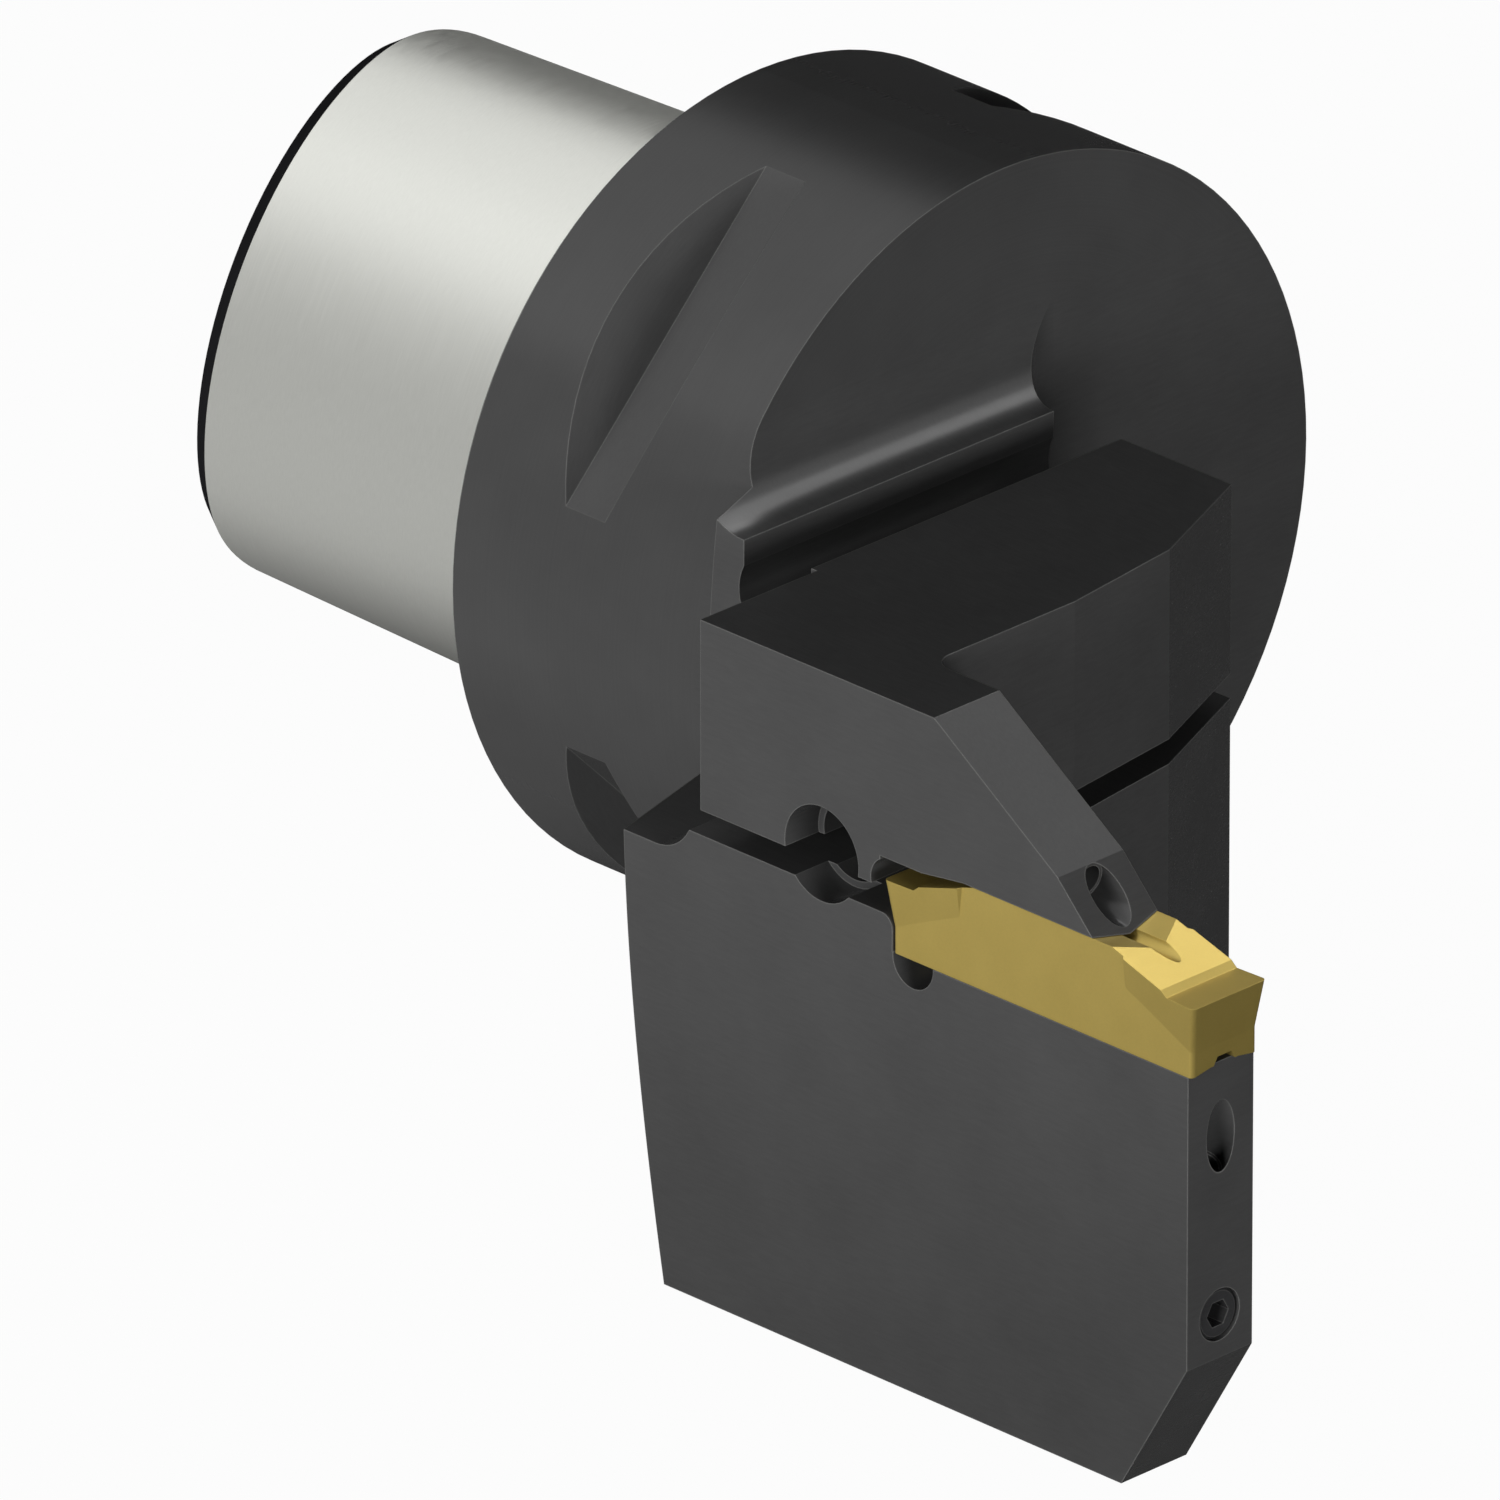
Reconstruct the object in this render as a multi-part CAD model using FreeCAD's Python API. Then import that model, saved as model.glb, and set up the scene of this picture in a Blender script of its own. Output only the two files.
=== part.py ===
import FreeCAD, Part
import math
import os

# Parting and grooving cutting unit with a polygon taper shank, size 50.
# Millimetres. +X runs along the tool axis to the cutting end, +Z is up, and -Y is the
# side that the insert cuts on. The origin is the centre of the gauge face, where the
# shank meets the flange.

Vec = FreeCAD.Vector

# Polygon taper shank
shank_length = 30.0
shank_mean_diameter = 35.2
shank_eccentricity = 1.12
shank_taper = 0.05
shank_end_chamfer = 1.6
shank_end_chamfer_drop = 0.93
polygon_points = 72

# Bore of the shank, for the clamping segments and the draw bolt
entry_bore_diameter = 24.0
entry_bore_depth = 12.5
entry_bore_chamfer = 0.6
claw_groove_diameter = 27.0
claw_groove_start = 4.0
claw_groove_width = 4.2
draw_thread_core = 14.5
feed_drill_tip = 4.0

# Gripper flange
flange_diameter = 50.0
flange_length = 20.15
flange_rim_chamfer = 0.4
gauge_ring_inner_diameter = 41.0
gauge_relief_depth = 0.3
gripper_slot_count = 4
gripper_slot_centre_x = 10.05
gripper_slot_floor_width = 3.15
gripper_slot_depth = 2.79
gripper_slot_wall_angle = 38.5

# Turned blank of the head: the cone behind the blade
cone_start_x = 21.5
cone_angle = 15.0

# Cutting edge and insert
edge_x = 70.0
functional_width = 35.1
cutting_width = 5.9
insert_length = 24.6
insert_body_width = 5.2
insert_bottom_z = -4.55
insert_hill_z = 1.6
insert_land = 2.25
rake_foot_rise = 0.35
rake_foot_length = 0.45
hill_inset = 6.8
head_root_inset = 5.7
head_relief_height = 3.0
head_front_relief = 0.42
head_side_relief = 0.35
head_back_taper = 0.28
head_root_angle = 45.0
corner_radius = 0.3
valley_depth = 0.45
keel_rise = 0.25
keel_half_width = 1.1
keel_groove_half_width = 0.55
keel_groove_flare = 0.3
keel_groove_depth = 0.5
chip_groove_radius = 0.6
chip_groove_depth = 0.42
chip_groove_end_inset = 3.6

# Blade under the insert
blade_thickness = 5.26
blade_front_gap = 0.7
blade_bottom_z = -31.7
blade_foot_height = 1.0
blade_nose_chamfer_x = 5.15
blade_nose_chamfer_z = 8.8

# Seat of the insert in the blade
seat_clearance = 0.03
seat_step = 1.0
seat_wall_round = 0.9
seat_relief_radius = 1.6
seat_relief_offset_x = 1.65
seat_relief_offset_z = -0.13

# Head block and neck
head_top_z = 11.18
head_right_y = -0.28
head_bottom_z = -27.0
head_bottom_round = 4.0
head_front_right_x = 38.78
head_facet_1 = (42.53, -9.13)
head_facet_2 = (43.68, -17.98)
finger_corner_round = 1.4
neck_left_y = -25.4
neck_front_x = 24.5

# Slit, key hole and flexure that let the upper jaw spring
slit_top_z = -0.75
slit_bottom_z = -2.3
jaw_rear_x = 29.92
jaw_rear_step = 0.46
slot_round_radius = 3.1
flexure_top_z = 4.95
slit_round_radius = 3.05
slit_round_x = 26.73
slit_round_z = -0.95
key_hole_x = 40.13
key_hole_z = -0.28
key_hole_radius = 2.95
key_hole_depth = 2.7
key_bore_radius = 2.5
key_bore_depth = 14.0
jaw_relief_radius = 1.5
jaw_relief_offset_x = 0.16
jaw_relief_z = -0.35

# Clamping finger with its coolant nozzle
finger_root_x = 49.08
nozzle_face_top_x = 58.93
nozzle_face_top_z = 4.49
nozzle_face_bottom_x = 61.68
finger_heel_x = 51.4
finger_arch_x = 48.1
finger_arch_z = 1.17
finger_clearance = 0.03
nozzle_drop_angle = 12.0
nozzle_radius = 1.15
nozzle_depth = 1.7
nozzle_feed_radius = 0.95
nozzle_face_share = 0.52

# Coolant passages and their plugs
jaw_cross_x = 35.4
jaw_cross_radius = 1.65
outlet_z = -9.0
outlet_angle = 60.0
outlet_radius = 1.12
outlet_depth = 2.6
outlet_feed_radius = 0.9
blade_duct_z = -20.2
blade_duct_radius = 1.25
cross_duct_x = 34.0
cross_duct_radius = 2.1
feed_duct_radius = 2.25
feed_start = (0.0, -2.5, -3.0)
blade_plug_diameter = 3.2
blade_plug_length = 4.0
blade_plug_key = 1.5
jaw_plug_diameter = 4.0
jaw_plug_length = 4.0
jaw_plug_key = 2.0
head_plug_diameter = 5.0
head_plug_length = 5.0
head_plug_key = 2.5
plug_recess = 0.15
plug_fit = 0.01
plug_rim_chamfer = 0.2
plug_cup_chamfer = 0.5
plug_socket_share = 0.5

# Values that follow from those above; reach and margin are how far cutting shapes run past the part
flange_radius = flange_diameter / 2
blade_y = -(functional_width - cutting_width / 2)
blade_outer_y = blade_y - blade_thickness / 2
blade_inner_y = blade_y + blade_thickness / 2
blade_front_x = edge_x - blade_front_gap
insert_rear_x = edge_x - insert_length
insert_middle_x = edge_x - insert_length / 2
seat_wall_x = insert_rear_x + head_front_relief - seat_clearance
finger_sole_z = insert_hill_z + finger_clearance
slot_middle_x = (neck_front_x + jaw_rear_x) / 2
slot_round_z = flexure_top_z + slot_round_radius
split_x = slot_middle_x
nozzle_mouth_x = nozzle_face_top_x + (nozzle_face_bottom_x - nozzle_face_top_x) * nozzle_face_share
nozzle_mouth_z = nozzle_face_top_z + (finger_sole_z - nozzle_face_top_z) * nozzle_face_share
nozzle_fall = (nozzle_mouth_x - jaw_cross_x) * math.tan(math.radians(nozzle_drop_angle))
jaw_cross_z = nozzle_mouth_z + nozzle_fall
slit_middle_z = (slit_top_z + slit_bottom_z) / 2
reach = 120.0
margin = 1.0


def prism_xz(outline, y_low, y_high):
    """Solid from a closed XZ wire drawn at y = 0, between two values of y."""
    face = Part.Face(outline)
    solid = face.extrude(Vec(0, y_high - y_low, 0))
    solid.translate(Vec(0, y_low, 0))
    return solid


def prism_xy(outline, z_low, z_high):
    """Solid from a closed XY wire drawn at z = 0, between two values of z."""
    face = Part.Face(outline)
    solid = face.extrude(Vec(0, 0, z_high - z_low))
    solid.translate(Vec(0, 0, z_low))
    return solid


def wire_xz(points):
    corners = [Vec(x, 0, z) for x, z in points]
    return Part.makePolygon(corners + corners[:1])


def wire_xy(points):
    corners = [Vec(x, y, 0) for x, y in points]
    return Part.makePolygon(corners + corners[:1])


def box(x_range, y_range, z_range):
    size = [high - low for low, high in (x_range, y_range, z_range)]
    return Part.makeBox(*size, Vec(x_range[0], y_range[0], z_range[0]))


def rod(radius, start, end):
    """Round rod between two points."""
    path = end - start
    return Part.makeCylinder(radius, path.Length, start, path)


def rod_y(radius, x, z, y_low, y_high):
    return rod(radius, Vec(x, y_low, z), Vec(x, y_high, z))


def turned(profile):
    """Solid of revolution about the tool axis, from (x, radius) points."""
    face = Part.Face(wire_xz(profile))
    return face.revolve(Vec(0, 0, 0), Vec(1, 0, 0), 360)


def polygon_section(x, mean_diameter, shrink=0.0):
    """Closed curve of the polygon taper at one station: a three-lobed trochoid."""
    points = []
    for i in range(polygon_points):
        a = 2 * math.pi * i / polygon_points
        e = shank_eccentricity
        u = mean_diameter / 2 * math.cos(a) - 2 * e * math.cos(2 * a) + e * math.cos(4 * a)
        v = mean_diameter / 2 * math.sin(a) + 2 * e * math.sin(2 * a) + e * math.sin(4 * a)
        scale = 1 - shrink / math.hypot(u, v)
        turn = math.radians(30)
        y = scale * (u * math.cos(turn) - v * math.sin(turn))
        z = scale * (u * math.sin(turn) + v * math.cos(turn))
        points.append(Vec(x, y, z))
    curve = Part.BSplineCurve()
    curve.interpolate(Points=points, PeriodicFlag=True)
    return Part.Wire(curve.toShape())


def polygon_shank():
    """Ground taper with the bore that the clamping segments and draw bolt enter."""
    def section(x, shrink=0.0):
        return polygon_section(x, shank_mean_diameter + shank_taper * x, shrink)

    end_x = -shank_length
    chamfer_x = end_x + shank_end_chamfer
    taper = Part.makeLoft([section(chamfer_x), section(gauge_relief_depth)], True, True)
    tip = Part.makeLoft([section(end_x, shank_end_chamfer_drop), section(chamfer_x)], True, True)
    shank = taper.fuse(tip).removeSplitter()
    bore_r = entry_bore_diameter / 2
    groove_r = claw_groove_diameter / 2
    core_r = draw_thread_core / 2
    bore_end = end_x + entry_bore_depth
    groove_start = end_x + claw_groove_start
    groove_end = groove_start + claw_groove_width
    profile = [
        (end_x - margin, 0),
        (end_x - margin, bore_r + entry_bore_chamfer + margin),
        (end_x, bore_r + entry_bore_chamfer),
        (end_x + entry_bore_chamfer, bore_r),
        (groove_start, bore_r),
        (groove_start, groove_r),
        (groove_end, groove_r),
        (groove_end, bore_r),
        (bore_end, bore_r),
        (bore_end + bore_r - core_r, core_r),
        (margin, core_r),
        (margin, 0),
    ]
    return shank.cut(turned(profile))


def gripper_slots():
    """Trapezoid slots across the flange for the tool changer's grippers."""
    slope = math.tan(math.radians(gripper_slot_wall_angle))
    floor_r = flange_radius - gripper_slot_depth
    over = gripper_slot_depth + 2 * margin
    half = gripper_slot_floor_width / 2
    outline = wire_xz([
        (gripper_slot_centre_x - half, floor_r),
        (gripper_slot_centre_x + half, floor_r),
        (gripper_slot_centre_x + half + over * slope, floor_r + over),
        (gripper_slot_centre_x - half - over * slope, floor_r + over),
    ])
    slots = []
    for i in range(gripper_slot_count):
        slot = prism_xz(outline, -flange_radius, flange_radius)
        slot.rotate(Vec(0, 0, 0), Vec(1, 0, 0), 45 + 360 / gripper_slot_count * i)
        slots.append(slot)
    return slots


def turned_blank():
    """Flange and the larger stub that the head is milled from."""
    cone_reach = edge_x - cone_start_x
    cone_rise = cone_reach / math.tan(math.radians(cone_angle))
    return turned([
        (0, 0),
        (0, flange_radius - flange_rim_chamfer),
        (flange_rim_chamfer, flange_radius),
        (cone_start_x, flange_radius),
        (edge_x, flange_radius + cone_rise),
        (edge_x + reach, flange_radius + cone_rise),
        (edge_x + reach, 0),
    ])


def head_plan():
    """Outline of the head seen from above, with the fillet into the flange."""
    fillet = neck_front_x - flange_length
    points = [
        (flange_length - margin, blade_outer_y),
        (blade_front_x, blade_outer_y),
        (blade_front_x, blade_inner_y),
        (head_facet_2[0], blade_inner_y),
        head_facet_2,
        head_facet_1,
        (head_front_right_x, head_right_y),
        (neck_front_x, head_right_y),
    ]
    corners = [Vec(x, y, 0) for x, y in points]
    edges = [Part.makeLine(a, b) for a, b in zip(corners, corners[1:])]
    half = fillet * (1 - math.sqrt(0.5))
    end = Vec(flange_length, head_right_y + fillet, 0)
    middle = Vec(flange_length + half, head_right_y + half, 0)
    back = Vec(flange_length - margin, end.y, 0)
    edges.append(Part.Arc(corners[-1], middle, end).toShape())
    edges.append(Part.makeLine(end, back))
    edges.append(Part.makeLine(back, corners[0]))
    return Part.Wire(edges)


def head_side():
    """Outline of the head seen from the cutting side, before slit and seat are cut."""
    fillet = neck_front_x - flange_length
    face_slope = (nozzle_face_bottom_x - nozzle_face_top_x) / (nozzle_face_top_z - finger_sole_z)
    face_run = (finger_sole_z - slit_bottom_z) * face_slope
    points = [
        (neck_front_x, head_top_z),
        (finger_root_x, head_top_z),
        (nozzle_face_top_x, nozzle_face_top_z),
        (nozzle_face_bottom_x, finger_sole_z),
        (nozzle_face_bottom_x + face_run, slit_bottom_z),
        (blade_front_x, slit_bottom_z),
        (blade_front_x, blade_bottom_z + blade_nose_chamfer_z),
        (blade_front_x - blade_nose_chamfer_x, blade_bottom_z),
        (flange_length - margin, blade_bottom_z),
        (flange_length - margin, head_top_z + fillet),
        (flange_length, head_top_z + fillet),
    ]
    corners = [Vec(x, 0, z) for x, z in points]
    edges = [Part.makeLine(a, b) for a, b in zip(corners, corners[1:])]
    half = fillet * (1 - math.sqrt(0.5))
    middle = Vec(flange_length + half, 0, head_top_z + half)
    edges.append(Part.Arc(corners[-1], middle, corners[0]).toShape())
    return Part.Wire(edges)


def head_underside():
    """Space under the thick part of the head: only the blade reaches further down."""
    low = blade_bottom_z - margin
    foot_z = blade_bottom_z + blade_foot_height
    points = [
        Vec(0, blade_inner_y, low),
        Vec(0, blade_inner_y, foot_z),
        Vec(0, blade_inner_y + head_bottom_z - foot_z, head_bottom_z),
        Vec(0, head_right_y - head_bottom_round, head_bottom_z),
    ]
    edges = [Part.makeLine(a, b) for a, b in zip(points, points[1:])]
    drop = head_bottom_round * (1 - math.sqrt(0.5))
    arc_middle = Vec(0, head_right_y - drop, head_bottom_z + drop)
    arc_end = Vec(0, head_right_y, head_bottom_z + head_bottom_round)
    edges.append(Part.Arc(points[-1], arc_middle, arc_end).toShape())
    tail = [arc_end, Vec(0, flange_radius, arc_end.z), Vec(0, flange_radius, low), points[0]]
    edges += [Part.makeLine(a, b) for a, b in zip(tail, tail[1:])]
    space = Part.Face(Part.Wire(edges)).extrude(Vec(reach, 0, 0))
    space.translate(Vec(flange_length, 0, 0))
    return space


def rear_recess():
    """Step behind the jaw on the cutting side, open above the slit's round end."""
    floor_z = slit_round_z - slit_round_radius
    rise = slit_bottom_z - slit_round_z
    arc_end_x = slit_round_x + math.sqrt(slit_round_radius ** 2 - rise ** 2)
    bend = math.radians(-60)
    start = Vec(slit_round_x, 0, floor_z)
    middle = Vec(
        slit_round_x + slit_round_radius * math.cos(bend),
        0,
        slit_round_z + slit_round_radius * math.sin(bend),
    )
    end = Vec(arc_end_x, 0, slit_bottom_z)
    rest = [
        end,
        Vec(jaw_rear_x + jaw_rear_step, 0, slit_bottom_z),
        Vec(jaw_rear_x + jaw_rear_step, 0, flange_radius),
        Vec(flange_length - margin, 0, flange_radius),
        Vec(flange_length - margin, 0, floor_z),
        start,
    ]
    edges = [Part.Arc(start, middle, end).toShape()]
    edges += [Part.makeLine(a, b) for a, b in zip(rest, rest[1:])]
    return prism_xz(Part.Wire(edges), blade_outer_y - margin, neck_left_y)


def flexure_cuts():
    """Slot behind the jaw, slit under it and the round ends that leave a thin web."""
    left = neck_left_y - margin
    right = flange_radius
    slot = box((neck_front_x, jaw_rear_x), (left, right), (slot_round_z, flange_radius))
    slot_round = rod_y(slot_round_radius, slot_middle_x, slot_round_z, left, right)
    slit_round = rod_y(slit_round_radius, slit_round_x, slit_round_z, left, right)
    slit = box((slit_round_x, reach), (blade_outer_y - margin, right), (slit_bottom_z, slit_top_z))
    return [slot, slot_round, slit_round, slit]


def key_hole():
    """Stepped hole across the slit: a cam key turned in it lifts the jaw."""
    outer = blade_outer_y
    mouth = rod_y(key_hole_radius, key_hole_x, key_hole_z, outer - margin, outer + key_hole_depth)
    bore = rod_y(key_bore_radius, key_hole_x, key_hole_z, outer, outer + key_bore_depth)
    return [mouth, bore]


def insert_pocket():
    """Room for the insert between the finger's ridged sole and the keeled seat."""
    low = insert_bottom_z
    sole = finger_sole_z
    front = edge_x + margin
    seat_side = [
        (seat_wall_x, low - margin),
        (front, low - margin),
        (front, sole),
        (finger_heel_x, sole),
        (finger_arch_x, finger_arch_z),
        (seat_wall_x - seat_step, finger_arch_z),
        (seat_wall_x - seat_step, slit_bottom_z),
        (seat_wall_x - seat_wall_round, slit_bottom_z),
    ]
    corners = [Vec(x, 0, z) for x, z in seat_side]
    edges = [Part.makeLine(a, b) for a, b in zip(corners, corners[1:])]
    centre = Vec(seat_wall_x - seat_wall_round, 0, slit_bottom_z - seat_wall_round)
    bend = math.radians(45)
    middle = centre + Vec(math.cos(bend), 0, math.sin(bend)) * seat_wall_round
    wall_top = Vec(seat_wall_x, 0, centre.z)
    edges.append(Part.Arc(corners[-1], middle, wall_top).toShape())
    edges.append(Part.makeLine(wall_top, corners[0]))
    pocket = prism_xz(Part.Wire(edges), blade_outer_y - margin, blade_inner_y + margin)
    return pocket.cut(seat_keel()).cut(finger_ridge())


def seat_keel():
    """Blade metal under the insert, with the low keel that fits its groove."""
    half = [
        (blade_thickness, insert_bottom_z - 2 * margin),
        (blade_thickness, insert_bottom_z),
        (insert_body_width / 2, insert_bottom_z),
        (keel_half_width, insert_bottom_z + keel_rise),
    ]
    points = [Vec(0, blade_y - d, z) for d, z in half]
    points += [Vec(0, blade_y + d, z) for d, z in reversed(half)]
    face = Part.Face(Part.makePolygon(points + points[:1]))
    keel = face.extrude(Vec(reach, 0, 0))
    keel.translate(Vec(seat_wall_x - margin, 0, 0))
    return keel


def finger_ridge():
    """Shallow ridge along the finger's sole that locates the insert sideways."""
    half = blade_thickness / 2 + margin
    slope = valley_depth / (insert_body_width / 2)
    tip_z = finger_sole_z - valley_depth
    face = Part.Face(Part.makePolygon([
        Vec(0, blade_y - half, tip_z + half * slope),
        Vec(0, blade_y, tip_z),
        Vec(0, blade_y + half, tip_z + half * slope),
        Vec(0, blade_y - half, tip_z + half * slope),
    ]))
    ridge = face.extrude(Vec(reach, 0, 0))
    ridge.translate(Vec(finger_heel_x, 0, 0))
    return ridge


def relief_holes():
    """Round corners at the rear of the insert: one in the jaw, one in the seat."""
    jaw_x = insert_rear_x + jaw_relief_offset_x
    seat_x = seat_wall_x + seat_relief_offset_x
    seat_z = insert_bottom_z + seat_relief_offset_z
    y_range = (blade_outer_y - margin, blade_inner_y)
    return [
        rod_y(jaw_relief_radius, jaw_x, jaw_relief_z, *y_range),
        rod_y(seat_relief_radius, seat_x, seat_z, *y_range),
    ]


def stepped_bore(mouth, outward, radius, depth, feed_radius):
    """Bore drilled into a face, with a narrower feed from the far end of the outward path."""
    feed = rod(feed_radius, mouth - outward, mouth)
    direction = Vec(outward).normalize()
    wide = rod(radius, mouth - direction * depth, mouth + direction * (3 * radius))
    return [wide, feed]


def nozzle_bore():
    """Coolant jet over the insert, aimed at the cutting edge."""
    mouth = Vec(nozzle_mouth_x, blade_y, nozzle_mouth_z)
    back = Vec(jaw_cross_x, blade_y, jaw_cross_z)
    jet = stepped_bore(mouth, mouth - back, nozzle_radius, nozzle_depth, nozzle_feed_radius)
    cross = rod_y(jaw_cross_radius, jaw_cross_x, jaw_cross_z, blade_y, head_right_y + margin)
    return jet + [cross]


def blade_ducts():
    """Coolant from the shank through the blade to the outlet under the insert."""
    mouth = Vec(blade_front_x, blade_y, outlet_z)
    rise = outlet_z - blade_duct_z
    outward = Vec(rise / math.tan(math.radians(outlet_angle)), 0, rise)
    outlet = stepped_bore(mouth, outward, outlet_radius, outlet_depth, outlet_feed_radius)
    duct = rod(
        blade_duct_radius,
        Vec(cross_duct_x, blade_y, blade_duct_z),
        Vec(blade_front_x + margin, blade_y, blade_duct_z),
    )
    cross = rod_y(cross_duct_radius, cross_duct_x, blade_duct_z, blade_y, head_right_y + margin)
    start = Vec(*feed_start)
    feed = rod(feed_duct_radius, start, Vec(cross_duct_x, blade_y / 3, blade_duct_z))
    return outlet + [duct, cross, feed]


def blade_plug_bore():
    front = Vec(blade_front_x + margin, blade_y, blade_duct_z)
    back = Vec(blade_front_x - plug_recess - blade_plug_length, blade_y, blade_duct_z)
    return rod(blade_plug_diameter / 2 + plug_fit, back, front)


def side_plug_bore(diameter, length, x, z):
    """Wide mouth of a cross duct in the head's right side, as deep as its plug."""
    back_y = head_right_y - plug_recess - length
    return rod_y(diameter / 2 + plug_fit, x, z, back_y, head_right_y + margin)


def head_with_jaw():
    """Head and jaw as machined from one bar, before they are parted at the flexure."""
    plan = head_plan()
    head = prism_xy(plan, blade_bottom_z - margin, flange_radius)
    corner = [
        edge for edge in head.Edges
        if edge.Length > 10
        and abs(edge.CenterOfMass.x - head_facet_2[0]) < 0.01
        and abs(edge.CenterOfMass.y - blade_inner_y) < 0.01
    ]
    head = head.makeFillet(finger_corner_round, corner)
    head = head.common(prism_xz(head_side(), blade_outer_y - margin, flange_radius))
    head = head.cut(head_underside())
    head = head.common(turned_blank())
    for tool in [rear_recess()] + flexure_cuts() + key_hole() + relief_holes() + [insert_pocket()]:
        head = head.cut(tool)
    return head


def flange():
    """Gripper flange with its slots and the raised ring of the gauge face."""
    ring_r = gauge_ring_inner_diameter / 2
    body = turned([
        (gauge_relief_depth, 0),
        (gauge_relief_depth, ring_r),
        (0, ring_r),
        (0, flange_radius - flange_rim_chamfer),
        (flange_rim_chamfer, flange_radius),
        (flange_length, flange_radius),
        (flange_length, 0),
    ])
    for slot in gripper_slots():
        body = body.cut(slot)
    return body


def jaw_zone():
    """Everything in front of the flexure and above the slit."""
    return box((split_x, reach), (-reach, reach), (slit_middle_z, reach))


def holder_body(head):
    """Flange, neck, lower head and blade."""
    body = head.cut(jaw_zone()).fuse(flange())
    body = body.cut(rod(draw_thread_core / 2, Vec(-margin, 0, 0), Vec(feed_drill_tip, 0, 0)))
    head_plug_bore = side_plug_bore(head_plug_diameter, head_plug_length, cross_duct_x, blade_duct_z)
    for tool in blade_ducts() + [blade_plug_bore(), head_plug_bore]:
        body = body.cut(tool)
    return body.removeSplitter()


def clamp_jaw(head):
    """Springing upper jaw with the clamping finger and its nozzle."""
    jaw = head.common(jaw_zone())
    jaw_plug_bore = side_plug_bore(jaw_plug_diameter, jaw_plug_length, jaw_cross_x, jaw_cross_z)
    for tool in nozzle_bore() + [jaw_plug_bore]:
        jaw = jaw.cut(tool)
    return jaw.removeSplitter()


def insert_profile():
    """Side view of the insert: two cutting ends with a flat hill between them."""
    half = insert_length / 2
    foot = half - insert_land
    lip = foot - rake_foot_length
    brow = half - hill_inset
    front = [
        (half + margin, 0),
        (foot, 0),
        (lip, rake_foot_rise),
        (brow, insert_hill_z),
    ]
    rear = [(-x, z) for x, z in reversed(front)]
    base = [(-half - margin, insert_bottom_z), (half + margin, insert_bottom_z)]
    return [(insert_middle_x + x, z) for x, z in front + rear + base]


def insert_head_plan(z, end):
    """Plan outline of one cutting end at a height, for its relief planes."""
    half_length = insert_length / 2
    sink = -z / head_relief_height
    front = half_length - head_front_relief * sink
    root = half_length - head_root_inset
    wide = cutting_width / 2 - head_side_relief * sink
    narrow = wide - head_back_taper
    inner = insert_body_width / 2 - head_side_relief - head_back_taper
    ramp_foot = root - (narrow - inner) / math.tan(math.radians(head_root_angle))
    corners = [
        (ramp_foot, inner),
        (root, narrow),
        (front, wide),
        (front, -wide),
        (root, -narrow),
        (ramp_foot, -inner),
    ]
    points = [Vec(insert_middle_x + end * x, blade_y + y, z) for x, y in corners]
    return Part.makePolygon(points + points[:1])


def insert_head(end):
    """Cutting end: wider than the body, with front and side relief."""
    block = Part.makeLoft(
        [insert_head_plan(-head_relief_height, end), insert_head_plan(insert_hill_z + margin, end)],
        True,
        True,
    )
    tip_x = insert_middle_x + end * insert_length / 2
    corners = []
    for edge in block.Edges:
        middle = edge.CenterOfMass
        upright = abs(edge.Vertexes[0].Z - edge.Vertexes[-1].Z) > 1
        if upright and abs(middle.x - tip_x) < 0.6:
            corners.append(edge)
    return block.makeFillet(corner_radius, corners)


def insert_groove():
    """Shallow valley along the top and the keel groove along the bottom."""
    slope = valley_depth / (insert_body_width / 2)
    side = cutting_width
    valley_z = insert_hill_z - valley_depth
    valley = Part.Face(Part.makePolygon([
        Vec(0, blade_y, valley_z),
        Vec(0, blade_y + side, valley_z + side * slope),
        Vec(0, blade_y - side, valley_z + side * slope),
        Vec(0, blade_y, valley_z),
    ]))
    low = insert_bottom_z - margin
    keel_z = insert_bottom_z + keel_rise
    groove_z = keel_z + keel_groove_depth
    body_half = insert_body_width / 2
    half = [
        (body_half + margin, low),
        (body_half + margin, insert_bottom_z),
        (body_half, insert_bottom_z),
        (keel_half_width, keel_z),
        (keel_groove_half_width + keel_groove_flare, keel_z),
        (keel_groove_half_width, groove_z),
    ]
    points = [Vec(0, blade_y - d, z) for d, z in half]
    points += [Vec(0, blade_y + d, z) for d, z in reversed(half)]
    keel = Part.Face(Part.makePolygon(points + points[:1]))
    cuts = []
    for face in (valley, keel):
        cut = face.extrude(Vec(insert_length + 2 * margin, 0, 0))
        cut.translate(Vec(insert_rear_x - margin, 0, 0))
        cuts.append(cut)
    return cuts


def cutting_insert():
    """Double-ended insert, wider at its two cutting ends."""
    half = insert_length / 2
    body_half_length = half - head_front_relief
    body = box(
        (insert_middle_x - body_half_length, insert_middle_x + body_half_length),
        (blade_y - insert_body_width / 2, blade_y + insert_body_width / 2),
        (insert_bottom_z, insert_hill_z),
    )
    upright = []
    for edge in body.Edges:
        if abs(edge.Vertexes[0].Z - edge.Vertexes[-1].Z) > 1:
            upright.append(edge)
    body = body.makeFillet(corner_radius, upright)
    solid = body.fuse(insert_head(1)).fuse(insert_head(-1))
    side_view = wire_xz(insert_profile())
    solid = solid.common(prism_xz(side_view, blade_y - cutting_width, blade_y + cutting_width))
    for cut in insert_groove():
        solid = solid.cut(cut)
    groove_z = insert_hill_z - valley_depth + chip_groove_radius - chip_groove_depth
    groove_half = half - chip_groove_end_inset
    groove = rod(
        chip_groove_radius,
        Vec(insert_middle_x - groove_half, blade_y, groove_z),
        Vec(insert_middle_x + groove_half, blade_y, groove_z),
    )
    return solid.cut(groove).removeSplitter()


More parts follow.
